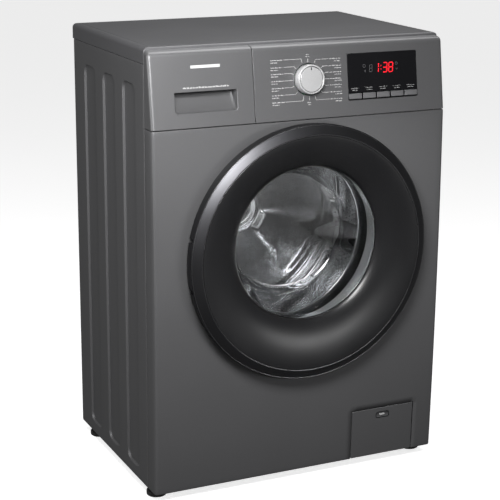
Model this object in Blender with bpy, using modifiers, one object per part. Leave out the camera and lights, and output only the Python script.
"""Front load washing machine, slim free-standing cabinet.

Metres, +Z up.  The front faces -Y, and the origin is on the floor in the middle of the
overall box.  Depths are written as distances behind the flat of the front panel (FRONT).
"""
import bpy
import bmesh
from math import atan2, cos, pi, radians, sin, sqrt, acos, hypot
from mathutils import Matrix, Vector

# ---------------------------------------------------------------- driving dimensions
WIDTH = 0.595
HEIGHT = 0.845
CABINET_DEPTH = 0.412        # flat of the front panel to the rear panel
DOOR_PROUD = 0.040           # door ring in front of the flat of the front panel
REAR_PROUD = 0.022           # water inlet thread behind the rear panel

GAP = 0.0003                 # between pieces that touch
SEAM = 0.0012                # visible joints between panels
SHEET = 0.0010               # cabinet steel
FOOT_HEIGHT = 0.016          # floor to the underside of the cabinet
CORNER_R = 0.006             # vertical front corners

LID_THICK = 0.029
LID_EDGE_R = 0.008
LID_OVERHANG = 0.0135        # lid behind the rear panel
RETURN_DEPTH = 0.0355        # side returns of the front panel and the fascia

FASCIA_TALL = 0.141
SEAM_Z = HEIGHT - FASCIA_TALL    # joint between the front panel and the fascia
BOW = 0.005                  # crown of the front panel
FASCIA_TOP_Z = HEIGHT - 0.0096
FASCIA_LEAN = 0.0196         # how far the fascia leans back at FASCIA_TOP_Z
FASCIA_WALL = 0.0025
FASCIA_LID_Z = HEIGHT - 0.0048        # height at which the fascia meets the lid
DRAWER_SEAM_X = -0.098

PRESS_DEPTH = 0.003          # pressed panels of the side walls
PRESS_WIDTH = 0.064
PRESS_PITCH = 0.1045
PRESS_FIRST = 0.1125         # middle of the foremost one, behind the front panel
PRESS_COUNT = 3
PRESS_BOTTOM_Z = 0.040
PRESS_TOP_Z = HEIGHT - 0.070
PRESS_CORNER_R = 0.018

DOOR_X = 0.004
DOOR_Z = 0.459               # middle of the door ring
RING_R = 0.242
RING_INNER_R = 0.2216
RING_BEVEL = 0.010           # depth of the sloping face of the ring
RING_WALL = 0.0022
RING_REAR = -0.0100          # rear edge of the ring's side wall
RING_REAR_R = 0.2405
DISH_WALL = 0.0025
GLASS_R = 0.1456             # visible edge of the glass
GLASS_Z = 0.474              # middle of the glass, a little above the ring's
GLASS_EDGE = -0.010
GLASS_WALL = 0.0045
GLASS_DEPTH = 0.096          # deepest point of the bowl
PIN_INSET = 0.013            # hinge axis inside the ring's outer edge
PIN_DEPTH = -0.0260
PIN_R = 0.0035
PIN_CLEAR = 0.0004
LATCH_OUT = 0.2045           # latch hook, from the middle of the door

AXIS_Z = 0.470               # axis of the tub and the drum
MOUTH_R = 0.168              # opening in the front panel
SEAL_LIP_R = 0.155
TUB_R = 0.262
TUB_WALL = 0.003
TUB_FRONT = 0.062
TUB_SPLIT = 0.200
TUB_REAR = 0.350
TUB_NECK_R = 0.175
DRUM_R = 0.243
DRUM_WALL = 0.001
DRUM_FRONT = 0.078
DRUM_REAR = 0.316
DRUM_MOUTH_R = 0.160
SHAFT_R = 0.0125
SHAFT_CLEAR = 0.0003
HUB_BORE_R = 0.0265
HUB_R = 0.042
PULLEY_R = 0.140
PULLEY_FRONT = 0.372
PULLEY_WIDE = 0.016
MOTOR_R = 0.060
MOTOR_ANGLE = 235            # degrees, seen from the front, anticlockwise from +X
MOTOR_REACH = 0.328          # tub axis to motor axis
MOTOR_FRONT = 0.200
MOTOR_REAR = 0.345
MOTOR_PULLEY_R = 0.012
BELT_THICK = 0.003

KNOB_X = 0.012
KNOB_Z = SEAM_Z + 0.0715
KNOB_R = 0.02725
KNOB_FACE_R = 0.0265
KNOB_PROUD = 0.0135
KNOB_GAP = 0.001
KNOB_SHAFT_R = 0.003
DISPLAY_X = (0.0930, 0.2395)
DISPLAY_Z = (SEAM_Z + 0.0285, SEAM_Z + 0.1125)
BUTTON_X = (0.0940, 0.2385)
BUTTON_Z = (SEAM_Z + 0.0307, SEAM_Z + 0.0403)
BUTTON_COUNT = 5
BUTTON_WIDE = 0.0265
BUTTON_DEEP = 0.010
BUTTON_PROUD = 0.001
BUTTON_GAP = 0.0006
BOARD_DEPTH = 0.015          # control board behind the fascia's face

POCKET_X = (-0.251, -0.1315)
POCKET_Z = (SEAM_Z + 0.0265, SEAM_Z + 0.0630)
POCKET_DEPTH = 0.022
TRAY_X = (-0.262, -0.112)
TRAY_Z = (SEAM_Z + 0.0250, SEAM_Z + 0.0950)
TRAY_REAR = 0.262
TRAY_WALL = 0.002
TRAY_DIVIDERS_X = (-0.205, -0.158)
HOUSING_CLEAR = 0.004
HOUSING_WALL = 0.002

FLAP_X = (0.1155, 0.2520)
FLAP_TOP_Z = 0.1180
FLAP_WALL = 0.0025
FLAP_SLOT_X = (0.1695, 0.1970)
FLAP_SLOT_Z = (0.0980, 0.1084)
FLAP_AXIS_DEPTH = 0.0035
FLAP_AXIS_Z = 0.0235
PUMP_X = 0.184
PUMP_Z = 0.069
PUMP_R = 0.029
PUMP_FRONT = 0.0125
CAP_R = 0.0225

BASE_HEIGHT = 0.020
BASE_WALL = 0.002
FOOT_R = 0.019
FOOT_PAD = 0.010
FOOT_STEM_R = 0.005
FOOT_STEM_CLEAR = 0.0004
FOOT_INSET_X = 0.0205
FOOT_FRONT = 0.046
FOOT_REAR_INSET = 0.048
BOSS_R = 0.0115
BOSS_HEIGHT = 0.030

SPRING_X = 0.215
SPRING_DEPTH = 0.322
SPRING_R = 0.010
SPRING_WIRE_R = 0.0015
SPRING_TURNS = 6
SPRING_TOP_Z = HEIGHT - 0.0455
SPRING_BOTTOM_Z = 0.6345
DAMPER_DEPTH = 0.165
DAMPER_TOP = (0.152, 0.2330)     # distance from the tub axis, height
DAMPER_BOTTOM = (0.232, 0.0490)
DAMPER_R = 0.011

# ---------------------------------------------------------------- places worked out
FRONT = DOOR_PROUD - (CABINET_DEPTH + DOOR_PROUD + REAR_PROUD) / 2
BACK = FRONT + CABINET_DEPTH
HALF = WIDTH / 2
LID_Z = HEIGHT - LID_THICK
PANEL_BOTTOM_Z = FOOT_HEIGHT + 0.002
PANEL_TOP_Z = SEAM_Z - SEAM / 2
FASCIA_BOTTOM_Z = SEAM_Z + SEAM / 2
LEAN = FASCIA_LEAN / (FASCIA_TOP_Z - SEAM_Z)
LEAN_ANGLE = atan2(LEAN, 1)
OUTWARD = Vector((0, -cos(LEAN_ANGLE), sin(LEAN_ANGLE)))
PIN_X = DOOR_X - RING_R + PIN_INSET
MOTOR_X = DOOR_X + MOTOR_REACH * cos(radians(MOTOR_ANGLE))
MOTOR_Z = AXIS_Z + MOTOR_REACH * sin(radians(MOTOR_ANGLE))

# ---------------------------------------------------------------- scene and materials
for old in list(bpy.data.objects):
    bpy.data.objects.remove(old)

PARTS = bpy.data.collections.new("front_load_washing_machine")
CUTTERS = bpy.data.collections.new("cutters")
bpy.context.scene.collection.children.link(PARTS)
bpy.context.scene.collection.children.link(CUTTERS)

FINISHES = {
    # name: colour, metallic, roughness
    "titanium_paint": ((0.19, 0.19, 0.20), 0.5, 0.40),
    "titanium_plastic": ((0.20, 0.20, 0.21), 0.3, 0.40),
    "black_gloss": ((0.012, 0.012, 0.014), 0.0, 0.15),
    "black_plastic": ((0.03, 0.03, 0.03), 0.0, 0.60),
    "dark_chrome": ((0.20, 0.20, 0.21), 1.0, 0.25),
    "silver": ((0.72, 0.72, 0.73), 0.8, 0.30),
    "clear_glass": ((0.85, 0.90, 0.90), 0.0, 0.05),
    "grey_rubber": ((0.16, 0.16, 0.17), 0.0, 0.70),
    "black_rubber": ((0.02, 0.02, 0.02), 0.0, 0.80),
    "drum_steel": ((0.62, 0.62, 0.64), 1.0, 0.25),
    "zinc_steel": ((0.50, 0.51, 0.52), 0.9, 0.45),
    "tub_plastic": ((0.52, 0.53, 0.54), 0.0, 0.60),
    "white_plastic": ((0.80, 0.80, 0.80), 0.0, 0.50),
    "concrete": ((0.42, 0.41, 0.40), 0.0, 0.90),
    "cast_aluminium": ((0.55, 0.55, 0.57), 0.9, 0.50),
    "circuit_board": ((0.03, 0.16, 0.07), 0.0, 0.50),
}


def material(name):
    """The Principled material of one of the finishes, made on first use."""
    found = bpy.data.materials.get(name)
    if found:
        return found
    colour, metallic, roughness = FINISHES[name]
    made = bpy.data.materials.new(name)
    made.use_nodes = True
    shader = made.node_tree.nodes["Principled BSDF"]
    shader.inputs["Base Color"].default_value = (*colour, 1)
    shader.inputs["Metallic"].default_value = metallic
    shader.inputs["Roughness"].default_value = roughness
    return made


def add_object(name, mesh, place=None):
    """A new object in the parts' collection, at a 4x4 matrix."""
    obj = bpy.data.objects.new(name, mesh)
    PARTS.objects.link(obj)
    obj.matrix_world = place or Matrix()
    return obj


def from_bmesh(name, bm, place=None):
    mesh = bpy.data.meshes.new(name)
    bm.to_mesh(mesh)
    bm.free()
    return add_object(name, mesh, place)


def smooth(obj, angle=35):
    """Smooth shading that keeps edges sharper than the angle."""
    obj.data.shade_smooth()
    obj.data.set_sharp_from_angle(angle=radians(angle))
    return obj


def finish(obj, name):
    obj.data.materials.clear()
    obj.data.materials.append(material(name))
    return obj


def pivot(name, location, parent=None):
    """An empty on a joint's axis, which carries what moves with it."""
    empty = bpy.data.objects.new(name, None)
    PARTS.objects.link(empty)
    empty.empty_display_size = 0.03
    empty.location = location
    if parent:
        hang(empty, parent)
    return empty


def hang(obj, parent):
    """Parents an object without moving it."""
    bpy.context.view_layer.update()
    obj.parent = parent
    obj.matrix_parent_inverse = parent.matrix_world.inverted()
    return obj


# ---------------------------------------------------------------- shapes
def behind(depth):
    """World Y of a depth behind the flat of the front panel."""
    return FRONT + depth


def box(name, low, high):
    """A box between two corners, with its origin in its middle."""
    low, high = Vector(low), Vector(high)
    bm = bmesh.new()
    bmesh.ops.create_cube(bm, size=1)
    bmesh.ops.scale(bm, vec=high - low, verts=bm.verts)
    return from_bmesh(name, bm, Matrix.Translation((low + high) / 2))


def aimed(start, end):
    """A matrix whose origin is start and whose Z runs to end."""
    way = Vector(end) - Vector(start)
    turn = way.to_track_quat("Z", "Y").to_matrix().to_4x4()
    return Matrix.Translation(start) @ turn, way.length


def rod(name, start, end, radius, segments=24, end_radius=None):
    """A cylinder or cone from start to end, with its origin at start."""
    place, length = aimed(start, end)
    bm = bmesh.new()
    bmesh.ops.create_cone(bm, cap_ends=True, segments=segments, radius1=radius,
                          radius2=radius if end_radius is None else end_radius, depth=length)
    bmesh.ops.translate(bm, vec=(0, 0, length / 2), verts=bm.verts)
    return from_bmesh(name, bm, place)


def turned(name, profile, x, z, steps=48):
    """A profile of (radius, depth) points turned about a front-to-back axis at x, z.

    A profile that starts and ends on the axis is left open there.  Any other is closed.
    """
    points = [Vector((r, 0, -depth)) for r, depth in profile]
    closed = profile[0][0] > 0
    ring = points + points[:1]
    area = sum(a.x * b.z - b.x * a.z for a, b in zip(ring, ring[1:]))
    if area > 0:
        points.reverse()
    bm = bmesh.new()
    verts = [bm.verts.new(p) for p in points]
    for a, b in zip(verts, verts[1:]):
        bm.edges.new((a, b))
    if closed:
        bm.edges.new((verts[-1], verts[0]))
    place = Matrix.Translation((x, FRONT, z)) @ Matrix.Rotation(pi / 2, 4, "X")
    obj = from_bmesh(name, bm, place)
    screw = obj.modifiers.new("Turn", "SCREW")
    screw.axis = "Z"
    screw.angle = 2 * pi
    screw.steps = steps
    screw.render_steps = steps
    screw.use_merge_vertices = True
    screw.merge_threshold = 0.0001
    return obj


def upright(name, profile, x, y, steps=24):
    """A profile of (radius, height) points turned about a vertical axis at x, y."""
    obj = turned(name, profile, 0, 0, steps)
    obj.matrix_world = Matrix.Translation((x, y, 0)) @ Matrix.Rotation(pi, 4, "X")
    return obj


def extruded(name, outline, thickness, place):
    """A flat outline of (x, y) points, extruded both ways along Z, as a closed mesh."""
    curve = bpy.data.curves.new(name, "CURVE")
    curve.dimensions = "2D"
    curve.fill_mode = "BOTH"
    curve.extrude = thickness / 2
    spline = curve.splines.new("POLY")
    spline.points.add(len(outline) - 1)
    for point, (a, b) in zip(spline.points, outline):
        point.co = (a, b, 0, 1)
    spline.use_cyclic_u = True
    return mesh_from_curve(name, curve, place)


def mesh_from_curve(name, curve, place=None):
    """The closed mesh of a curve, with its caps welded."""
    guide = add_object(name, curve, place)
    bpy.context.view_layer.update()
    evaluated = guide.evaluated_get(bpy.context.evaluated_depsgraph_get())
    mesh = bpy.data.meshes.new_from_object(evaluated)
    where = guide.matrix_world.copy()
    bpy.data.objects.remove(guide)
    bm = bmesh.new()
    bm.from_mesh(mesh)
    bmesh.ops.remove_doubles(bm, verts=bm.verts, dist=0.00001)
    bmesh.ops.recalc_face_normals(bm, faces=bm.faces)
    bm.to_mesh(mesh)
    bm.free()
    mesh.name = name
    return add_object(name, mesh, where)


def tube(name, points, radius, resolution=2):
    """A round bar along a list of points."""
    curve = bpy.data.curves.new(name, "CURVE")
    curve.dimensions = "3D"
    curve.bevel_depth = radius
    curve.bevel_resolution = resolution
    curve.use_fill_caps = True
    spline = curve.splines.new("POLY")
    spline.points.add(len(points) - 1)
    for point, place in zip(spline.points, points):
        point.co = (*place, 1)
    return mesh_from_curve(name, curve)


def arc(cx, cy, radius, start, end, count):
    """Points along an arc, angles in degrees, both ends included."""
    steps = [radians(start + (end - start) * i / count) for i in range(count + 1)]
    return [(cx + radius * cos(a), cy + radius * sin(a)) for a in steps]


def rounded(width, height, radius, count=4):
    """The outline of a rounded rectangle about the origin."""
    x, y = width / 2 - radius, height / 2 - radius
    return (arc(x, y, radius, 0, 90, count) + arc(-x, y, radius, 90, 180, count)
            + arc(-x, -y, radius, 180, 270, count) + arc(x, -y, radius, 270, 360, count))


FACING_FRONT = Matrix.Rotation(pi / 2, 4, "X")        # outline in X and Z, extruded along Y
FACING_SIDE = Matrix.Rotation(pi / 2, 4, "Z") @ Matrix.Rotation(pi / 2, 4, "X")  # in Y and Z


def combine(target, tool, operation):
    tool.hide_render = True
    tool.display_type = "WIRE"
    PARTS.objects.unlink(tool)
    CUTTERS.objects.link(tool)
    hang(tool, target)
    change = target.modifiers.new(operation.title(), "BOOLEAN")
    change.object = tool
    change.operation = operation
    change.solver = "EXACT"
    return target


def cut(target, tool):
    return combine(target, tool, "DIFFERENCE")


def join(target, tool):
    return combine(target, tool, "UNION")


# ---------------------------------------------------------------- cabinet
def bow(z):
    """How far the front panel stands in front of its flat at a height."""
    middle = (PANEL_TOP_Z + PANEL_BOTTOM_Z) / 2
    reach = (PANEL_TOP_Z - PANEL_BOTTOM_Z) / 2
    return BOW * (1 - ((z - middle) / reach) ** 2)


def wrapped_path():
    """Points (x, depth) of a section through the front panel, from one return to the other."""
    right = arc(HALF - CORNER_R, CORNER_R, CORNER_R, -90, 0, 4)
    left = [(-x, depth) for x, depth in reversed(right)]
    return [(-HALF, RETURN_DEPTH)] + left + [(0, 0)] + right + [(HALF, RETURN_DEPTH)]


def front_panel():
    """Lower front: a crowned sheet, bent round both corners, with the door's mouth."""
    path = wrapped_path()
    rows = 8
    bm = bmesh.new()
    bmesh.ops.create_grid(bm, x_segments=len(path) - 1, y_segments=rows, size=0.5)
    bm.verts.ensure_lookup_table()
    for vert in bm.verts:
        x, depth = path[round((vert.co.x + 0.5) * (len(path) - 1))]
        z = PANEL_BOTTOM_Z + (vert.co.y + 0.5) * (PANEL_TOP_Z - PANEL_BOTTOM_Z)
        share = 1 - depth / RETURN_DEPTH
        vert.co = (x, behind(depth - bow(z) * share), z)
    panel = from_bmesh("front_panel", bm)
    wall = panel.modifiers.new("Sheet", "SOLIDIFY")
    wall.thickness = SHEET
    wall.offset = -1
    cut(panel, rod("mouth_cutter", (DOOR_X, behind(-0.02), AXIS_Z),
                   (DOOR_X, behind(0.02), AXIS_Z), MOUTH_R, 64))
    slack = SEAM
    cut(panel, box("flap_notch", (FLAP_X[0] - slack, behind(-0.02), 0),
                   (FLAP_X[1] + slack, behind(0.02), FLAP_TOP_Z + slack)))
    x = DOOR_X + LATCH_OUT
    cut(panel, box("latch_slot", (x - 0.009, behind(-0.02), DOOR_Z - 0.013),
                   (x + 0.008, behind(0.02), DOOR_Z + 0.013)))
    return finish(panel, "titanium_paint")


def pressed_panel(name, x_low, x_high, depth, grow=0):
    """One tall rounded panel of a side wall, as a solid between two planes."""
    outline = rounded(PRESS_WIDTH + 2 * grow, PRESS_TOP_Z - PRESS_BOTTOM_Z + 2 * grow,
                      PRESS_CORNER_R + grow)
    middle = ((x_low + x_high) / 2, behind(depth), (PRESS_TOP_Z + PRESS_BOTTOM_Z) / 2)
    return extruded(name, outline, abs(x_high - x_low), Matrix.Translation(middle) @ FACING_SIDE)


def side_panel(name, side):
    """A side wall with its pressed panels and the ledge that carries a tub spring."""
    def across(low, high):
        return sorted((side * low, side * high))

    inner, outer = across(HALF - SHEET, HALF)
    wall = box(name, (inner, behind(RETURN_DEPTH + SEAM), PANEL_BOTTOM_Z),
               (outer, BACK, LID_Z - GAP))
    for i in range(PRESS_COUNT):
        depth = PRESS_FIRST + i * PRESS_PITCH
        low, high = across(HALF - PRESS_DEPTH - SHEET, HALF - SHEET / 2)
        join(wall, pressed_panel(f"{name}_press_{i}", low, high, depth, SHEET))
        low, high = across(HALF - PRESS_DEPTH, HALF + 0.005)
        cut(wall, pressed_panel(f"{name}_recess_{i}", low, high, depth))
    low, high = across(SPRING_X - 0.012, HALF - SHEET / 2)
    join(wall, box(f"{name}_ledge", (low, behind(SPRING_DEPTH - 0.009), SPRING_TOP_Z + GAP),
                   (high, behind(SPRING_DEPTH + 0.009), SPRING_TOP_Z + 0.006)))
    return finish(wall, "titanium_paint")


REAR_OPENING = (-0.025, 0.400, 0.380, 0.460)     # middle x, z, width, height
REAR_COVER_LAP = 0.012
REAR_COVER_PROUD = 0.009
INLET = (-0.150, HEIGHT - 0.090)
OUTLET = (0.235, 0.620)
GLAND = (0.235, 0.105)
INLET_R, OUTLET_R, GLAND_R = 0.0132, 0.0145, 0.0075


def rear_panel():
    """Rear wall with its service opening and the holes for water and mains."""
    inner = HALF - SHEET - GAP
    panel = box("rear_panel", (-inner, BACK - SHEET, PANEL_BOTTOM_Z),
                (inner, BACK, LID_Z - GAP))
    x, z, width, height = REAR_OPENING
    cut(panel, extruded("rear_opening", rounded(width, height, 0.03), 0.02,
                        Matrix.Translation((x, BACK, z)) @ FACING_FRONT))
    for (x, z), radius in ((INLET, INLET_R), (OUTLET, OUTLET_R), (GLAND, GLAND_R)):
        cut(panel, rod("rear_hole", (x, BACK - 0.01, z), (x, BACK + 0.01, z),
                       radius + 0.001, 24))
    return finish(panel, "titanium_paint")


def rear_cover():
    """Pressed cover over the service opening: a shallow tray open towards the inside."""
    x, z, width, height = REAR_OPENING
    lap = 2 * REAR_COVER_LAP
    y = BACK + GAP
    cover = extruded("rear_cover", rounded(width + lap, height + lap, 0.036), SHEET,
                     Matrix.Translation((x, y + SHEET / 2, z)) @ FACING_FRONT)
    deep = REAR_COVER_PROUD
    join(cover, extruded("cover_dome", rounded(width - 0.02, height - 0.02, 0.025), deep,
                         Matrix.Translation((x, y + deep / 2, z)) @ FACING_FRONT))
    cut(cover, extruded("cover_hollow", rounded(width - 0.022, height - 0.022, 0.024), deep,
                        Matrix.Translation((x, y + deep / 2 - SHEET, z)) @ FACING_FRONT))
    return finish(cover, "titanium_paint")


def top_lid():
    """Worktop with rounded upper edges and corners."""
    low_y, high_y = behind(RETURN_DEPTH + SEAM / 2), BACK + LID_OVERHANG
    lid = box("top_lid", (-HALF, low_y, LID_Z), (HALF, high_y, HEIGHT))
    bm = bmesh.new()
    bm.from_mesh(lid.data)
    top = [e for e in bm.edges if all(v.co.z > 0 for v in e.verts)]
    corners = [e for e in bm.edges
               if abs(e.verts[0].co.z - e.verts[1].co.z) > LID_THICK / 2
               and e.verts[0].co.y > 0]
    bmesh.ops.bevel(bm, geom=top + corners, offset=LID_EDGE_R, segments=3,
                    affect="EDGES", profile=0.5)
    bm.to_mesh(lid.data)
    bm.free()
    return finish(lid, "titanium_plastic")


def base_frame():
    """Shallow tray that closes the cabinet below and carries the feet."""
    inner = HALF - SHEET - 0.004
    low = (-inner, behind(0.016), PANEL_BOTTOM_Z)
    high = (inner, BACK - SHEET - 0.002, PANEL_BOTTOM_Z + BASE_HEIGHT)
    tray = box("base_frame", low, high)
    wall = Vector((BASE_WALL,) * 3)
    hollow_high = Vector(high) - wall
    hollow_high.z = high[2] + 0.01
    cut(tray, box("base_hollow", Vector(low) + wall, hollow_high))
    for i, (x, y) in enumerate(foot_places()):
        join(tray, rod(f"foot_boss_{i}", (x, y, PANEL_BOTTOM_Z + BASE_WALL / 2),
                       (x, y, PANEL_BOTTOM_Z + BOSS_HEIGHT), BOSS_R, 20))
        cut(tray, rod(f"foot_thread_{i}", (x, y, 0), (x, y, 0.1),
                      FOOT_STEM_R + FOOT_STEM_CLEAR, 20))
    for side in (-1, 1):
        x, z = side * DAMPER_BOTTOM[0] + DOOR_X, DAMPER_BOTTOM[1]
        y = behind(DAMPER_DEPTH)
        join(tray, box("damper_post", (x - 0.010, y - 0.010, PANEL_BOTTOM_Z + BASE_WALL / 2),
                       (x + 0.010, y + 0.010, z - 0.012)))
    return finish(tray, "zinc_steel")


def foot_places():
    """Where the four feet stand: front left, front right, rear left, rear right."""
    x = HALF - FOOT_INSET_X
    rows = (behind(FOOT_FRONT), BACK - FOOT_REAR_INSET)
    return [(side * x, y) for y in rows for side in (-1, 1)]


def foot(name, x, y):
    """Levelling foot: a rubber-shod pad on a threaded stem."""
    top = PANEL_BOTTOM_Z + BOSS_HEIGHT - 0.004
    profile = [(0, top), (FOOT_STEM_R, top), (FOOT_STEM_R, FOOT_PAD + 0.003),
               (0.011, FOOT_PAD), (FOOT_R, FOOT_PAD - 0.001), (FOOT_R, 0.002),
               (FOOT_R - 0.002, 0), (0, 0)]
    piece = upright(name, profile, x, y)
    hang(piece, pivot(f"{name}_screw", (x, y, 0)))
    return smooth(finish(piece, "black_rubber"))


def front_brace():
    """Steel bar across the cabinet behind the joint of panel and fascia."""
    inner = HALF - SHEET - 0.001
    brace = box("front_brace", (-inner, behind(0.0375), SEAM_Z + 0.004),
                (inner, behind(0.0495), SEAM_Z + 0.016))
    return finish(brace, "zinc_steel")


# ---------------------------------------------------------------- fascia and controls
def lean(z):
    """Depth of the fascia's face at a height."""
    return LEAN * (z - SEAM_Z)


def fascia_profile(inset=0.0):
    """Section (depth, z) of the fascia: leaning face, rounded top edge, strip to the lid."""
    edge_z = FASCIA_TOP_Z - 0.005
    face_top = (lean(edge_z) + inset, edge_z - inset)
    round_top = (lean(FASCIA_TOP_Z) + 0.0015 + inset, FASCIA_TOP_Z - inset)
    strip = (lean(FASCIA_TOP_Z) + 0.0060 + inset, FASCIA_TOP_Z + 0.0026 - inset)
    end = RETURN_DEPTH - SEAM / 2
    low = FASCIA_BOTTOM_Z + inset
    open_end = end + (0.02 if inset else 0)
    return [(lean(low) + inset, low), face_top, round_top, strip,
            (open_end, FASCIA_LID_Z - inset), (open_end, low)]


def fascia_prism(name, x_low, x_high, inset=0.0):
    middle = Matrix.Translation(((x_low + x_high) / 2, FRONT, 0))
    return extruded(name, fascia_profile(inset), x_high - x_low, middle @ FACING_SIDE)


def soften_end(obj, x_end, radius=0.0045):
    """Rounds the front and top edges of a fascia's outer end."""
    bm = bmesh.new()
    bm.from_mesh(obj.data)
    bmesh.ops.dissolve_limit(bm, angle_limit=radians(1), verts=bm.verts, edges=bm.edges)
    world = obj.matrix_world
    rear = behind(RETURN_DEPTH - SEAM)

    def on_end(vert):
        return abs((world @ vert.co).x - x_end) < 0.0001

    def flat_below(edge):
        return all((world @ v.co).z < FASCIA_BOTTOM_Z + 0.0001 for v in edge.verts)

    def flat_behind(edge):
        return all((world @ v.co).y > rear for v in edge.verts)

    edges = [e for e in bm.edges if all(on_end(v) for v in e.verts)
             and not flat_below(e) and not flat_behind(e)]
    bmesh.ops.bevel(bm, geom=edges, offset=radius, segments=3, affect="EDGES", profile=0.5)
    bm.to_mesh(obj.data)
    bm.free()


def on_face(x, z, proud=0.0):
    """A point of the fascia's leaning face, moved out along its normal."""
    return Vector((x, behind(lean(z)), z)) + OUTWARD * proud


def leaning_box(name, xs, zs, inward, outward, turn=None):
    """A box set square to the leaning face, from a depth inside it to a height above it."""
    bm = bmesh.new()
    bmesh.ops.create_cube(bm, size=1)
    height = (zs[1] - zs[0]) / cos(LEAN_ANGLE)
    bmesh.ops.scale(bm, vec=(xs[1] - xs[0], inward + outward, height), verts=bm.verts)
    middle = on_face(sum(xs) / 2, sum(zs) / 2, (outward - inward) / 2)
    place = Matrix.Translation(middle) @ Matrix.Rotation(-LEAN_ANGLE, 4, "X")
    return from_bmesh(name, bm, place)


def button_spans():
    """The (low, high) x of each button."""
    pitch = (BUTTON_X[1] - BUTTON_X[0] - BUTTON_WIDE) / (BUTTON_COUNT - 1)
    starts = [BUTTON_X[0] + i * pitch for i in range(BUTTON_COUNT)]
    return [(x, x + BUTTON_WIDE) for x in starts]


def control_panel():
    """Fascia right of the drawer, with the openings for knob and display."""
    low = DRAWER_SEAM_X + SEAM / 2
    panel = fascia_prism("control_panel", low, HALF)
    soften_end(panel, HALF)
    cut(panel, fascia_prism("fascia_hollow", low + FASCIA_WALL, HALF - FASCIA_WALL,
                            FASCIA_WALL))
    cut(panel, rod("knob_hole", on_face(KNOB_X, KNOB_Z, -0.01), on_face(KNOB_X, KNOB_Z, 0.01),
                   KNOB_R + KNOB_GAP, 32))
    slack = 0.0004
    cut(panel, leaning_box("display_opening", (DISPLAY_X[0] - slack, DISPLAY_X[1] + slack),
                           (DISPLAY_Z[0] - slack, DISPLAY_Z[1] + slack), 0.01, 0.01))
    return finish(panel, "titanium_plastic")


def display_window():
    """Black window flush in the fascia, with a slot for each button."""
    window = leaning_box("display_window", DISPLAY_X, DISPLAY_Z, 0.004, 0.0002)
    for i, (low, high) in enumerate(button_spans()):
        cut(window, leaning_box(f"button_slot_{i}", (low - BUTTON_GAP, high + BUTTON_GAP),
                                (BUTTON_Z[0] - BUTTON_GAP, BUTTON_Z[1] + BUTTON_GAP),
                                0.01, 0.01))
    return finish(window, "black_gloss")


def button(name, span):
    """A push button, bevelled on its face, that travels square to the fascia."""
    cap = leaning_box(name, span, BUTTON_Z, BUTTON_DEEP, BUTTON_PROUD)
    bm = bmesh.new()
    bm.from_mesh(cap.data)
    face = [e for e in bm.edges if all(v.co.y < 0 for v in e.verts)]
    bmesh.ops.bevel(bm, geom=face, offset=0.0006, segments=1, affect="EDGES")
    bm.to_mesh(cap.data)
    bm.free()
    return finish(cap, "silver")


def program_knob():
    """Selector knob with a rim round its face, and the shaft that fits the encoder."""
    base, top = on_face(KNOB_X, KNOB_Z, -0.004), on_face(KNOB_X, KNOB_Z, KNOB_PROUD)
    place, length = aimed(base, top)
    tail = BOARD_DEPTH - 0.001
    profile = [(0, length - 0.0006), (KNOB_FACE_R - 0.004, length - 0.0006),
               (KNOB_FACE_R - 0.0035, length), (KNOB_FACE_R - 0.001, length),
               (KNOB_FACE_R, length - 0.001), (KNOB_R, 0.004), (KNOB_R, 0),
               (KNOB_SHAFT_R, 0), (KNOB_SHAFT_R, -tail), (0, -tail)]
    knob = upright("program_knob", profile, 0, 0, 40)
    knob.matrix_world = place @ Matrix.Rotation(pi, 4, "X")
    hang(knob, pivot("knob_axis", base))
    return smooth(finish(knob, "silver"))


def control_board():
    """Circuit board behind the fascia, with the encoder that the knob's shaft turns."""
    board = leaning_box("control_board", (KNOB_X - 0.035, DISPLAY_X[1] + 0.010),
                        (DISPLAY_Z[0] + 0.002, DISPLAY_Z[1] - 0.006),
                        BOARD_DEPTH + 0.002, -BOARD_DEPTH)
    join(board, rod("encoder_body", on_face(KNOB_X, KNOB_Z, -0.024),
                    on_face(KNOB_X, KNOB_Z, -0.010), 0.009, 20))
    cut(board, rod("encoder_bore", on_face(KNOB_X, KNOB_Z, -0.022),
                   on_face(KNOB_X, KNOB_Z, 0), KNOB_SHAFT_R + 0.0004, 20))
    return finish(board, "circuit_board")


# ---------------------------------------------------------------- detergent drawer
def pocket_wedge(name, grow=0.0):
    """The finger pocket: deep under its upper edge, shallow at the bottom."""
    low, high = POCKET_Z[0] - grow, POCKET_Z[1] + grow
    back = lean(high) + POCKET_DEPTH + grow
    front = -0.01 if not grow else lean(low) + FASCIA_WALL / 2
    outline = [(front, low), (lean(low) + 0.003 + grow, low), (back, high - 0.008),
               (back, high), (front, high)]
    xs = (POCKET_X[0] - grow, POCKET_X[1] + grow)
    middle = Matrix.Translation((sum(xs) / 2, FRONT, 0))
    return extruded(name, outline, xs[1] - xs[0], middle @ FACING_SIDE)


def drawer_front():
    """Left end of the fascia, which comes out with the drawer, with its finger pocket."""
    high = DRAWER_SEAM_X - SEAM / 2
    front = fascia_prism("drawer_front", -HALF, high)
    soften_end(front, -HALF)
    cut(front, fascia_prism("drawer_hollow", -HALF + FASCIA_WALL, high - FASCIA_WALL,
                            FASCIA_WALL))
    join(front, pocket_wedge("pocket_liner", 0.0018))
    cut(front, pocket_wedge("pocket_cutter"))
    return finish(front, "titanium_plastic")


def drawer_tray():
    """Tray with three compartments for detergent and softener."""
    y_low, y_high = behind(RETURN_DEPTH), behind(TRAY_REAR)
    tray = box("drawer_tray", (TRAY_X[0], y_low, TRAY_Z[0]), (TRAY_X[1], y_high, TRAY_Z[1]))
    for i, (low, high) in enumerate(tray_spans()):
        cut(tray, box(f"compartment_{i}", (low, y_low + TRAY_WALL, TRAY_Z[0] + TRAY_WALL),
                      (high, y_high - TRAY_WALL, TRAY_Z[1] + 0.01)))
    return finish(tray, "white_plastic")


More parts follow.
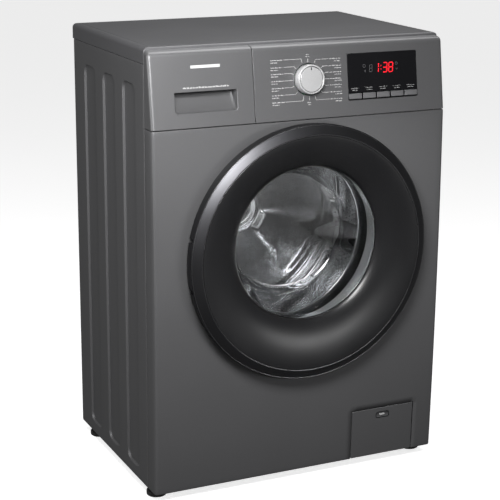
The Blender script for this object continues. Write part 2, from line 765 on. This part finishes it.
def tray_spans():
    """The (low, high) x of each compartment of the tray."""
    edges = [TRAY_X[0] + TRAY_WALL / 2, *TRAY_DIVIDERS_X, TRAY_X[1] - TRAY_WALL / 2]
    return [(a + TRAY_WALL / 2, b - TRAY_WALL / 2) for a, b in zip(edges, edges[1:])]


def drawer_housing():
    """Dispenser box that the tray slides in, open at the front."""
    clear, wall = HOUSING_CLEAR, HOUSING_WALL
    low = Vector((TRAY_X[0] - clear, behind(RETURN_DEPTH + 0.001), TRAY_Z[0] - 0.002))
    high = Vector((TRAY_X[1] + clear, behind(TRAY_REAR) + clear, TRAY_Z[1] + clear))
    thick = Vector((wall,) * 3)
    housing = box("drawer_housing", low - thick * 1.0 + Vector((0, wall, 0)), high + thick)
    cut(housing, box("housing_hollow", low - Vector((0, 0.02, 0)), high))
    return finish(housing, "white_plastic")


# ---------------------------------------------------------------- door
def ring_profile():
    """Section (radius, depth) of the ring: side wall and sloping face."""
    proud = -DOOR_PROUD
    edge = proud + RING_BEVEL
    wall = RING_WALL
    return [(RING_REAR_R, RING_REAR), (RING_R, edge), (RING_INNER_R + GAP, proud),
            (RING_INNER_R + GAP, proud + wall), (RING_R - wall, edge + wall / 2),
            (RING_REAR_R - wall, RING_REAR)]


def door_ring():
    """Bezel of the door, slotted in its side wall where the hinge necks pass."""
    ring = turned("door_ring", ring_profile(), DOOR_X, DOOR_Z, 56)
    for i, z in enumerate(neck_heights()):
        cut(ring, box(f"ring_slot_{i}", (PIN_X - 0.03, behind(-DOOR_PROUD + RING_BEVEL), z - 0.004),
                      (PIN_X + 0.004, behind(0.01), z + 0.004)))
    return smooth(finish(ring, "dark_chrome"))


def dish_depth(share):
    """Depth of the dish, from flat at the ring (0) to steep at the glass (1)."""
    fall = GLASS_EDGE + DOOR_PROUD
    return -DOOR_PROUD + fall * (1 - (1 - share ** 1.7) ** (1 / 1.7))


def door_dish():
    """Black trumpet between ring and glass; its inner end sits a little higher."""
    count = 6
    shares = [1 - (1 - i / count) ** 1.5 for i in range(count + 1)]
    span = RING_INNER_R - GLASS_R
    face = [(RING_INNER_R - span * s, dish_depth(s)) for s in shares]
    back = [(r + DISH_WALL * s, depth + DISH_WALL * (1 - s * 0.9))
            for (r, depth), s in zip(face, shares)]
    dish = turned("door_dish", face + back[::-1], DOOR_X, DOOR_Z, 56)
    bpy.context.view_layer.update()
    evaluated = dish.evaluated_get(bpy.context.evaluated_depsgraph_get())
    mesh = bpy.data.meshes.new_from_object(evaluated)
    dish.modifiers.clear()
    dish.data = mesh
    for vert in mesh.vertices:
        share = (RING_INNER_R - hypot(vert.co.x, vert.co.y)) / span
        vert.co.y += (GLASS_Z - DOOR_Z) * min(max(share, 0), 1)
    return smooth(finish(dish, "black_gloss"))


def bowl_profile():
    """Section (radius, depth) of the glass bowl: rim flange, cone and domed bottom."""
    wall = GLASS_WALL
    near = GLASS_EDGE + 0.0007
    flange = GLASS_R + 0.0080
    bottom_r = GLASS_R - 0.030
    return [(0, GLASS_DEPTH), (bottom_r * 0.55, GLASS_DEPTH - 0.002),
            (bottom_r, GLASS_DEPTH - 0.010), (bottom_r + 0.010, GLASS_DEPTH - 0.022),
            (GLASS_R + 0.0020, 0.012), (GLASS_R + 0.0040, near + wall), (flange, near + wall),
            (flange, near), (GLASS_R - 0.0008, near), (GLASS_R - 0.0028, 0.010),
            (bottom_r + 0.0055, GLASS_DEPTH - 0.025), (bottom_r - 0.004, GLASS_DEPTH - 0.0145),
            (bottom_r * 0.53, GLASS_DEPTH - 0.0065), (0, GLASS_DEPTH - wall)]


def door_glass():
    """Clear bowl that reaches into the drum's mouth."""
    return smooth(finish(turned("door_glass", bowl_profile(), DOOR_X, GLASS_Z, 40),
                         "clear_glass"))


FRAME_PLATE_R = 0.232
FRAME_FACES = (-0.0098, -0.0070)


def door_frame():
    """Rear plate of the door: holds the glass, and leaves room for hinge and latch."""
    near, far = FRAME_FACES
    plate = rod("door_frame", (DOOR_X, behind(near), DOOR_Z), (DOOR_X, behind(far), DOOR_Z),
                FRAME_PLATE_R, 64)
    join(plate, rod("glass_collar", (DOOR_X, behind(GLASS_EDGE - 0.0027), GLASS_Z),
                    (DOOR_X, behind(far), GLASS_Z), GLASS_R + 0.018, 48))
    cut(plate, rod("glass_hole", (DOOR_X, behind(-0.03), GLASS_Z),
                   (DOOR_X, behind(0.01), GLASS_Z), GLASS_R + 0.0090, 48))
    for i, z in enumerate(neck_heights()):
        cut(plate, box(f"neck_notch_{i}", (PIN_X - 0.05, behind(-0.02), z - 0.006),
                       (PIN_X + 0.024, behind(0.01), z + 0.006)))
    x = DOOR_X + LATCH_OUT
    cut(plate, box("latch_hole", (x - 0.0035, behind(-0.02), DOOR_Z - 0.009),
                   (x + 0.0035, behind(0.01), DOOR_Z + 0.009)))
    return smooth(finish(plate, "black_plastic"))


def neck_heights():
    """Heights of the two necks of the hinge bracket."""
    return [DOOR_Z - 0.047, DOOR_Z + 0.047]


def hinge_bracket():
    """Plate on the front panel with two necks that hold the door's pin."""
    plate = box("hinge_bracket", (PIN_X + 0.0125, behind(-0.0066), DOOR_Z - 0.054),
                (PIN_X + 0.031, behind(-BOW - GAP), DOOR_Z + 0.054))
    for i, z in enumerate(neck_heights()):
        low, high = z - 0.002, z + 0.002
        join(plate, box(f"neck_leg_{i}", (PIN_X + 0.0125, behind(PIN_DEPTH + 0.0005), low),
                        (PIN_X + 0.0185, behind(-0.0060), high)))
        join(plate, box(f"neck_arm_{i}", (PIN_X + 0.0020, behind(PIN_DEPTH - 0.0010), low),
                        (PIN_X + 0.0185, behind(PIN_DEPTH + 0.0050), high)))
        join(plate, rod(f"neck_eye_{i}", (PIN_X, behind(PIN_DEPTH), low),
                        (PIN_X, behind(PIN_DEPTH), high), 0.0048, 20))
        cut(plate, rod(f"neck_bore_{i}", (PIN_X, behind(PIN_DEPTH), z - 0.01),
                       (PIN_X, behind(PIN_DEPTH), z + 0.01), PIN_R + PIN_CLEAR, 20))
    return finish(plate, "zinc_steel")


def door_hinge_arm():
    """Pin with its barrel, and the arm that carries the door."""
    reach = 0.047 + 0.005
    pin = (PIN_X, behind(PIN_DEPTH))
    arm = rod("door_hinge_arm", (*pin, DOOR_Z - reach), (*pin, DOOR_Z + reach), PIN_R, 20)
    half = 0.041
    join(arm, rod("hinge_barrel", (*pin, DOOR_Z - half), (*pin, DOOR_Z + half), 0.0055, 20))
    join(arm, box("hinge_web", (PIN_X - 0.002, behind(PIN_DEPTH), DOOR_Z - half + 0.001),
                  (PIN_X + 0.004, behind(-0.0110), DOOR_Z + half - 0.001)))
    join(arm, box("hinge_leaf", (PIN_X - 0.002, behind(-0.0145), DOOR_Z - half + 0.002),
                  (PIN_X + 0.034, behind(FRAME_FACES[0] - GAP), DOOR_Z + half - 0.002)))
    return finish(arm, "zinc_steel")


def door_latch():
    """Hook that passes through the door's rear plate into the lock."""
    x = DOOR_X + LATCH_OUT
    latch = box("door_latch", (x - 0.0020, behind(-0.0120), DOOR_Z - 0.007),
                (x + 0.0020, behind(0.0200), DOOR_Z + 0.007))
    join(latch, box("latch_base", (x - 0.010, behind(-0.0135), DOOR_Z - 0.014),
                    (x + 0.010, behind(FRAME_FACES[0] - GAP), DOOR_Z + 0.014)))
    join(latch, box("latch_barb", (x - 0.0045, behind(0.0150), DOOR_Z - 0.006),
                    (x + 0.0010, behind(0.0195), DOOR_Z + 0.006)))
    return finish(latch, "zinc_steel")


def door_lock():
    """Interlock behind the front panel, with the slot that the hook enters."""
    x = DOOR_X + LATCH_OUT
    lock = box("door_lock", (x - 0.020, behind(0.0005), DOOR_Z - 0.030),
               (x + 0.018, behind(0.0300), DOOR_Z + 0.030))
    cut(lock, box("lock_slot", (x - 0.009, behind(-0.01), DOOR_Z - 0.013),
                  (x + 0.008, behind(0.0245), DOOR_Z + 0.013)))
    return finish(lock, "white_plastic")


def door_seal():
    """Rubber bellows from the front panel's mouth to the neck of the tub."""
    outer = TUB_NECK_R - 0.001
    wall = 0.0035
    fold = 0.163
    front = 0.0010
    profile = [(outer, front), (outer, 0.006), (fold, 0.010), (fold, 0.030),
               (outer, 0.036), (outer, TUB_FRONT - 0.0025), (outer - wall, TUB_FRONT - 0.0025),
               (outer - wall, 0.039), (fold - wall, 0.033), (fold - wall, 0.0135),
               (SEAL_LIP_R, 0.0150), (SEAL_LIP_R, 0.0115), (0.1600, 0.0060), (0.1610, front)]
    return smooth(finish(turned("door_seal", profile, DOOR_X, AXIS_Z, 36), "grey_rubber"))


# ---------------------------------------------------------------- tub
def about_axis(name, near, far, radius, segments=48):
    """A cylinder about the drum's axis between two depths."""
    return rod(name, (DOOR_X, behind(near), AXIS_Z), (DOOR_X, behind(far), AXIS_Z),
               radius, segments)


def tub_front():
    """Front half of the tub with its neck, its sump and the dampers' lugs."""
    neck = TUB_NECK_R
    wall = TUB_WALL
    profile = [(TUB_R, TUB_FRONT), (TUB_R, TUB_SPLIT), (TUB_R - wall, TUB_SPLIT),
               (TUB_R - wall, TUB_FRONT + wall), (neck, TUB_FRONT + wall),
               (neck, TUB_FRONT - 0.012), (neck + wall, TUB_FRONT - 0.012),
               (neck + wall, TUB_FRONT)]
    tub = turned("tub_front", profile, DOOR_X, AXIS_Z, 48)
    x, y, top = SUMP[0], behind(SUMP[1]), AXIS_Z - TUB_R
    join(tub, rod("sump_spout", (x, y, top - SUMP_DROP), (x, y, top + 0.012), 0.019, 24))
    cut(tub, rod("sump_bore", (x, y, top - 0.05), (x, y, top + 0.02), 0.0160, 24))
    for side in (-1, 1):
        x, z = DOOR_X + side * DAMPER_TOP[0], DAMPER_TOP[1]
        join(tub, box("damper_lug", (x - 0.010, behind(DAMPER_DEPTH - 0.010), z + 0.012),
                      (x + 0.010, behind(DAMPER_DEPTH + 0.010), z + 0.028)))
    return smooth(finish(tub, "tub_plastic"))


SUMP = (0.064, 0.130)
SUMP_DROP = 0.018
HEATER_Z = AXIS_Z - 0.2505


def tub_rear():
    """Rear half of the tub with the bearing hub, the heater's hole and the springs' lugs."""
    wall = TUB_WALL
    near = TUB_REAR - 0.020
    profile = [(TUB_R, TUB_SPLIT + GAP), (TUB_R, TUB_REAR), (HUB_R, TUB_REAR),
               (HUB_R, TUB_REAR + 0.016), (HUB_BORE_R, TUB_REAR + 0.016), (HUB_BORE_R, near),
               (HUB_R, near), (HUB_R, TUB_REAR - 0.004), (TUB_R - wall, TUB_REAR - 0.004),
               (TUB_R - wall, TUB_SPLIT + GAP)]
    tub = turned("tub_rear", profile, DOOR_X, AXIS_Z, 48)
    cut(tub, box("heater_hole", (DOOR_X - 0.0305, behind(TUB_REAR - 0.01), HEATER_Z - 0.0065),
                 (DOOR_X + 0.0305, behind(TUB_REAR + 0.01), HEATER_Z + 0.0065)))
    for side in (-1, 1):
        x = side * SPRING_X
        join(tub, box("spring_lug", (x - 0.010, behind(SPRING_DEPTH - 0.009), AXIS_Z + 0.130),
                      (x + 0.010, behind(SPRING_DEPTH + 0.009), SPRING_BOTTOM_Z - GAP)))
    cut(tub, about_axis("tub_room", TUB_SPLIT - 0.01, TUB_REAR - 0.0041, TUB_R - wall - 0.0005))
    return smooth(finish(tub, "tub_plastic"))


def front_weight():
    """Ring-shaped counterweight on the front of the tub."""
    profile = [(0.224, TUB_FRONT - 0.026), (0.224, TUB_FRONT - GAP),
               (TUB_NECK_R + 0.010, TUB_FRONT - GAP), (TUB_NECK_R + 0.010, TUB_FRONT - 0.026)]
    return smooth(finish(turned("front_weight", profile, DOOR_X, AXIS_Z, 48), "concrete"))


def top_weight():
    """Counterweight block saddled on the top right of the tub."""
    block = box("top_weight", (0.015, behind(0.100), AXIS_Z + 0.175),
                (0.200, behind(0.310), AXIS_Z + 0.318))
    cut(block, about_axis("weight_saddle", 0.05, 0.40, TUB_R + 0.0008, 64))
    return finish(block, "concrete")


def bearing(name, middle):
    """Bearing in the tub's hub, as one ring."""
    half = 0.0065
    bore = SHAFT_R + SHAFT_CLEAR
    outer = HUB_BORE_R - GAP
    profile = [(outer, middle - half), (outer, middle + half), (bore, middle + half),
               (bore, middle - half)]
    return smooth(finish(turned(name, profile, DOOR_X, AXIS_Z, 32), "zinc_steel"))


def heater():
    """Heating element bent back on itself, with the plug that seals it in the tub."""
    legs = 0.018
    near, far = 0.110, TUB_REAR - 0.006
    bend = [(DOOR_X - x, near - depth)
            for x, depth in arc(0, 0, legs, 0, 180, 8)]
    points = ([(DOOR_X - legs, behind(far), HEATER_Z)]
              + [(x, behind(depth), HEATER_Z) for x, depth in bend]
              + [(DOOR_X + legs, behind(far), HEATER_Z)])
    element = tube("heater", points, 0.0035)
    join(element, box("heater_plug", (DOOR_X - 0.0295, behind(TUB_REAR - 0.010), HEATER_Z - 0.0055),
                      (DOOR_X + 0.0295, behind(TUB_REAR + 0.008), HEATER_Z + 0.0055)))
    return finish(element, "zinc_steel")


# ---------------------------------------------------------------- drum and drive
def drum_basket():
    """Steel drum, open at its rolled mouth and closed at the rear."""
    wall = DRUM_WALL
    profile = [(0, DRUM_REAR), (DRUM_R, DRUM_REAR), (DRUM_R, DRUM_FRONT),
               (DRUM_MOUTH_R, DRUM_FRONT), (DRUM_MOUTH_R, DRUM_FRONT + 2 * wall),
               (DRUM_R - wall, DRUM_FRONT + 2 * wall), (DRUM_R - wall, DRUM_REAR - wall),
               (0, DRUM_REAR - wall)]
    return smooth(finish(turned("drum_basket", profile, DOOR_X, AXIS_Z, 48), "drum_steel"))


LIFTER_COUNT = 3
LIFTER_HEIGHT = 0.066
LIFTER_TURN = 105


def drum_lifter(index):
    """Hollow-backed lifter paddle on the wall of the drum, as a tapered solid."""
    foot_r = DRUM_R - 0.0040
    outline = [(-0.030, foot_r), (-0.016, foot_r - LIFTER_HEIGHT * 0.80),
               (-0.007, foot_r - LIFTER_HEIGHT), (0.007, foot_r - LIFTER_HEIGHT),
               (0.016, foot_r - LIFTER_HEIGHT * 0.80), (0.030, foot_r)]
    near, far = DRUM_FRONT + 0.008, DRUM_REAR - 0.006
    turn = Matrix.Rotation(radians(LIFTER_TURN + 360 / LIFTER_COUNT * index), 4, "Y")
    place = Matrix.Translation((DOOR_X, behind((near + far) / 2), AXIS_Z)) @ turn
    lifter = extruded(f"drum_lifter_{index + 1}", outline, far - near, place @ FACING_FRONT)
    return finish(lifter, "tub_plastic")


def drum_spider():
    """Cast three-armed spider behind the drum, with the drum's shaft."""
    near, far = DRUM_REAR + GAP, DRUM_REAR + 0.0125
    spider = about_axis("drum_spider", near, far, 0.034, 32)
    for i in range(3):
        angle = radians(30 + 120 * i)
        middle = Matrix.Translation((DOOR_X, behind((near + far) / 2), AXIS_Z))
        reach = DRUM_R - 0.008
        outline = [(0.010, -0.020), (reach, -0.012), (reach, 0.012), (0.010, 0.020)]
        join(spider, extruded(f"spider_arm_{i}", outline, far - near - 0.001,
                              middle @ Matrix.Rotation(angle, 4, "Y") @ FACING_FRONT))
    join(spider, about_axis("drum_shaft", far - 0.002, PULLEY_FRONT + PULLEY_WIDE + 0.007,
                            SHAFT_R, 32))
    return finish(spider, "cast_aluminium")


def drum_pulley():
    """Large belt pulley on the drum's shaft, with five lightening holes."""
    near, far = PULLEY_FRONT, PULLEY_FRONT + PULLEY_WIDE
    bore = SHAFT_R + SHAFT_CLEAR
    web = (near + 0.006, near + 0.010)
    profile = [(PULLEY_R, near), (PULLEY_R, far), (PULLEY_R - 0.004, far),
               (PULLEY_R - 0.004, web[1]), (0.024, web[1]), (0.024, far), (bore, far),
               (bore, near), (0.024, near), (0.024, web[0]), (PULLEY_R - 0.004, web[0]),
               (PULLEY_R - 0.004, near)]
    pulley = turned("drum_pulley", profile, DOOR_X, AXIS_Z, 36)
    for i in range(5):
        angle = 2 * pi * i / 5
        x, z = DOOR_X + 0.080 * cos(angle), AXIS_Z + 0.080 * sin(angle)
        cut(pulley, rod(f"pulley_hole_{i}", (x, behind(near - 0.01), z),
                        (x, behind(far + 0.01), z), 0.034, 12))
    return smooth(finish(pulley, "cast_aluminium"))


def belt_outline(grow):
    """Outline of the belt round both pulleys, as (x, z) about the drum's axis."""
    big, small = PULLEY_R + grow, MOTOR_PULLEY_R + grow
    heading = radians(MOTOR_ANGLE)
    spread = acos((big - small) / MOTOR_REACH)
    degrees = 180 / pi
    start, end = (heading + spread) * degrees, (heading - spread) * degrees + 360
    mx, mz = MOTOR_REACH * cos(heading), MOTOR_REACH * sin(heading)
    return (arc(0, 0, big, start, end, 40)
            + arc(mx, mz, small, end - 360, start, 10))


def drive_belt():
    """Ribbed drive belt, as a flat band."""
    near, far = PULLEY_FRONT + 0.0015, PULLEY_FRONT + PULLEY_WIDE - 0.0015
    place = Matrix.Translation((DOOR_X, behind((near + far) / 2), AXIS_Z)) @ FACING_FRONT
    belt = extruded("drive_belt", belt_outline(GAP + BELT_THICK), far - near, place)
    cut(belt, extruded("belt_inside", belt_outline(GAP), 0.05, place))
    return finish(belt, "black_rubber")


def motor():
    """Drive motor hung from the tub by two ears."""
    body = rod("motor", (MOTOR_X, behind(MOTOR_FRONT), MOTOR_Z),
               (MOTOR_X, behind(MOTOR_REAR), MOTOR_Z), MOTOR_R, 32)
    angle = radians(MOTOR_ANGLE)
    for i, depth in enumerate((MOTOR_FRONT + 0.030, MOTOR_REAR - 0.030)):
        middle = Matrix.Translation((DOOR_X, behind(depth), AXIS_Z))
        outline = [(TUB_R - 0.010, -0.022), (MOTOR_REACH, -0.022), (MOTOR_REACH, 0.022),
                   (TUB_R - 0.010, 0.022)]
        join(body, extruded(f"motor_ear_{i}", outline, 0.014,
                            middle @ Matrix.Rotation(-angle, 4, "Y") @ FACING_FRONT))
    cut(body, about_axis("ear_saddle", 0.18, 0.36, TUB_R + 0.0008, 64))
    cut(body, rod("motor_bore", (MOTOR_X, behind(MOTOR_REAR - 0.030), MOTOR_Z),
                  (MOTOR_X, behind(MOTOR_REAR + 0.010), MOTOR_Z), 0.0046, 16))
    return smooth(finish(body, "zinc_steel"))


def motor_pulley():
    """Small pulley and the motor's shaft."""
    near, far = PULLEY_FRONT, PULLEY_FRONT + PULLEY_WIDE
    shaft = 0.0042
    profile = [(0, MOTOR_REAR - 0.026), (shaft, MOTOR_REAR - 0.026), (shaft, near),
               (MOTOR_PULLEY_R, near), (MOTOR_PULLEY_R, far), (0, far)]
    return smooth(finish(turned("motor_pulley", profile, MOTOR_X, MOTOR_Z, 24), "zinc_steel"))


# ---------------------------------------------------------------- suspension
def spring(name, side):
    """Coil spring between a ledge of the cabinet and a lug of the tub."""
    per_turn = 8
    count = SPRING_TURNS * per_turn
    low = SPRING_BOTTOM_Z + SPRING_WIRE_R + GAP
    high = SPRING_TOP_Z - SPRING_WIRE_R - GAP
    points = []
    for i in range(count + 1):
        angle = 2 * pi * i / per_turn
        points.append((side * SPRING_X + SPRING_R * cos(angle),
                       behind(SPRING_DEPTH) + SPRING_R * sin(angle) * 0.7,
                       low + (high - low) * i / count))
    return finish(tube(name, points, SPRING_WIRE_R, 1), "zinc_steel")


def damper(name, side):
    """Friction damper between a lug of the tub and a post of the base."""
    y = behind(DAMPER_DEPTH)
    top = Vector((DOOR_X + side * DAMPER_TOP[0], y, DAMPER_TOP[1]))
    bottom = Vector((DOOR_X + side * DAMPER_BOTTOM[0], y, DAMPER_BOTTOM[1]))
    way = (top - bottom).normalized()
    length = (top - bottom).length
    piece = rod(name, bottom + way * 0.004, bottom + way * length * 0.62, DAMPER_R, 20)
    join(piece, rod(f"{name}_rod", bottom + way * length * 0.60, top - way * 0.002, 0.0055, 16))
    for i, end in enumerate((bottom, top)):
        across = Vector((0, 0.009, 0))
        join(piece, rod(f"{name}_eye_{i}", end - across, end + across, 0.009, 16))
    return finish(piece, "black_plastic")


# ---------------------------------------------------------------- pump, filter and flap
def drain_pump():
    """Drain pump: filter chamber open to the front, motor behind, spout to the sump."""
    def across(near, far, radius, name, segments=28):
        return rod(name, (PUMP_X, behind(near), PUMP_Z), (PUMP_X, behind(far), PUMP_Z),
                   radius, segments)

    pump = across(PUMP_FRONT, 0.090, PUMP_R, "drain_pump")
    join(pump, across(0.088, 0.135, 0.024, "pump_motor"))
    join(pump, rod("pump_spout", (PUMP_X - 0.046, behind(0.072), PUMP_Z),
                   (PUMP_X, behind(0.072), PUMP_Z), 0.0150, 20))
    join(pump, box("pump_foot", (PUMP_X - 0.022, behind(0.024), PANEL_BOTTOM_Z + 0.006),
                   (PUMP_X + 0.022, behind(0.084), PUMP_Z - 0.015)))
    cut(pump, across(0, 0.062, CAP_R + 0.0010, "filter_chamber"))
    cut(pump, rod("spout_bore", (PUMP_X - 0.06, behind(0.072), PUMP_Z),
                  (PUMP_X - 0.010, behind(0.072), PUMP_Z), 0.0115, 20))
    return smooth(finish(pump, "black_plastic"))


def filter_cap():
    """Lint filter: cap with a grip bar, and its basket in the pump's chamber."""
    profile = [(0, PUMP_FRONT), (CAP_R, PUMP_FRONT), (CAP_R, PUMP_FRONT + 0.009),
               (CAP_R - 0.004, PUMP_FRONT + 0.012), (CAP_R - 0.004, 0.054), (0, 0.054)]
    cap = turned("filter_cap", profile, PUMP_X, PUMP_Z, 28)
    join(cap, box("filter_grip", (PUMP_X - 0.017, behind(PUMP_FRONT - 0.008), PUMP_Z - 0.003),
                  (PUMP_X + 0.017, behind(PUMP_FRONT + 0.002), PUMP_Z + 0.003)))
    hang(cap, pivot("filter_axis", (PUMP_X, behind(PUMP_FRONT), PUMP_Z)))
    return smooth(finish(cap, "black_plastic"))


def pump_flap():
    """Flap in the lower right of the front, crowned like the panel, hinged at its foot."""
    rows = 4
    low = PANEL_BOTTOM_Z + 0.001
    bm = bmesh.new()
    bmesh.ops.create_grid(bm, x_segments=1, y_segments=rows, size=0.5)
    for vert in bm.verts:
        x = FLAP_X[0] + (vert.co.x + 0.5) * (FLAP_X[1] - FLAP_X[0])
        z = low + (vert.co.y + 0.5) * (FLAP_TOP_Z - low)
        vert.co = (x, behind(-bow(z)), z)
    flap = from_bmesh("pump_flap", bm)
    wall = flap.modifiers.new("Wall", "SOLIDIFY")
    wall.thickness = FLAP_WALL
    wall.offset = -1
    axis = (behind(FLAP_AXIS_DEPTH), FLAP_AXIS_Z)
    join(flap, rod("flap_barrel", (FLAP_X[0] + 0.004, *axis), (FLAP_X[1] - 0.004, *axis),
                   0.0028, 16))
    cut(flap, box("flap_slot", (FLAP_SLOT_X[0], behind(-0.02), FLAP_SLOT_Z[0]),
                  (FLAP_SLOT_X[1], behind(0.02), FLAP_SLOT_Z[1])))
    hang(flap, pivot("flap_axis", (sum(FLAP_X) / 2, *axis)))
    return finish(flap, "titanium_plastic")


def sump_hose():
    """Rubber hose from the tub's spout down to the pump."""
    start = Vector((SUMP[0], behind(SUMP[1]), AXIS_Z - TUB_R - SUMP_DROP - GAP - 0.003))
    end = Vector((PUMP_X - 0.046 - GAP - 0.003, behind(0.072), PUMP_Z))
    handles = (start - Vector((0, 0, 0.075)), end - Vector((0.055, 0, 0)))
    points = [start + Vector((0, 0, 0.003))]
    count = 12
    for i in range(count + 1):
        t = i / count
        points.append(start * (1 - t) ** 3 + handles[0] * 3 * t * (1 - t) ** 2
                      + handles[1] * 3 * t * t * (1 - t) + end * t ** 3)
    points.append(end + Vector((0.003, 0, 0)))
    return smooth(finish(tube("sump_hose", points, 0.0165), "black_rubber"), 50)


# ---------------------------------------------------------------- rear fittings
def stub(name, place, profile, colour):
    """A fitting turned about a front-to-back axis through the rear panel."""
    depths = [(r, CABINET_DEPTH + along) for r, along in profile]
    return smooth(finish(turned(name, depths, *place, 24), colour))


def inlet_valve():
    """Water inlet valve behind the rear panel, with its threaded spigot outside."""
    profile = [(0, -0.050), (0.018, -0.050), (0.018, -SHEET - GAP), (INLET_R, -SHEET - GAP),
               (INLET_R, REAR_PROUD), (INLET_R - 0.003, REAR_PROUD), (INLET_R - 0.003, 0.002),
               (0, 0.002)]
    return stub("inlet_valve", INLET, profile, "white_plastic")


def outlet_elbow():
    """Spigot that the drain hose would push on."""
    wall = 0.003
    profile = [(OUTLET_R + 0.006, -SHEET - GAP), (OUTLET_R, -SHEET - GAP), (OUTLET_R, 0.020),
               (OUTLET_R - wall, 0.020), (OUTLET_R - wall, -0.016),
               (OUTLET_R + 0.006, -0.016)]
    return stub("outlet_elbow", OUTLET, profile, "black_plastic")


def cable_gland():
    """Bush that the mains lead would pass through."""
    profile = [(0.012, GAP), (0.012, 0.008), (0.0045, 0.008), (0.0045, -0.010),
               (GLAND_R, -0.010), (GLAND_R, GAP)]
    return stub("cable_gland", GLAND, profile, "black_rubber")


# ---------------------------------------------------------------- assembly
def build_cabinet():
    front_panel()
    side_panel("side_panel_left", -1)
    side_panel("side_panel_right", 1)
    rear_panel()
    rear_cover()
    top_lid()
    base_frame()
    front_brace()
    for label, (x, y) in zip(("front_left", "front_right", "rear_left", "rear_right"),
                             foot_places()):
        foot(f"foot_{label}", x, y)
    inlet_valve()
    outlet_elbow()
    cable_gland()


def build_controls():
    control_panel()
    display_window()
    control_board()
    program_knob()
    for i, span in enumerate(button_spans()):
        cap = button(f"button_{i + 1}", span)
        hang(cap, pivot(f"button_{i + 1}_travel", on_face(sum(span) / 2, sum(BUTTON_Z) / 2)))


def build_drawer():
    drawer_housing()
    slide = pivot("drawer_slide", (sum(TRAY_X) / 2, behind(RETURN_DEPTH), TRAY_Z[0]))
    for piece in (drawer_front(), drawer_tray()):
        hang(piece, slide)


def build_door():
    hinge_bracket()
    door_lock()
    door_seal()
    hinge = pivot("door_hinge", (PIN_X, behind(PIN_DEPTH), DOOR_Z))
    for piece in (door_ring(), door_dish(), door_glass(), door_frame(), door_hinge_arm(),
                  door_latch()):
        hang(piece, hinge)


def build_tub():
    tub = pivot("tub_suspension", (DOOR_X, behind(TUB_SPLIT), AXIS_Z))
    drum = pivot("drum_axis", (DOOR_X, behind(DRUM_REAR), AXIS_Z), tub)
    rotor = pivot("motor_axis", (MOTOR_X, behind(MOTOR_REAR), MOTOR_Z), tub)
    still = (tub_front(), tub_rear(), front_weight(), top_weight(),
             bearing("bearing_front", TUB_REAR - 0.0120), bearing("bearing_rear", TUB_REAR + 0.0080),
             heater(), motor(), drive_belt())
    for piece in still:
        hang(piece, tub)
    turning = [drum_basket(), drum_spider(), drum_pulley()]
    turning += [drum_lifter(i) for i in range(LIFTER_COUNT)]
    for piece in turning:
        hang(piece, drum)
    hang(motor_pulley(), rotor)
    for side, label in ((-1, "left"), (1, "right")):
        spring(f"spring_{label}", side)
        damper(f"damper_{label}", side)


def build_pump():
    drain_pump()
    filter_cap()
    pump_flap()
    sump_hose()


build_cabinet()
build_controls()
build_drawer()
build_door()
build_tub()
build_pump()
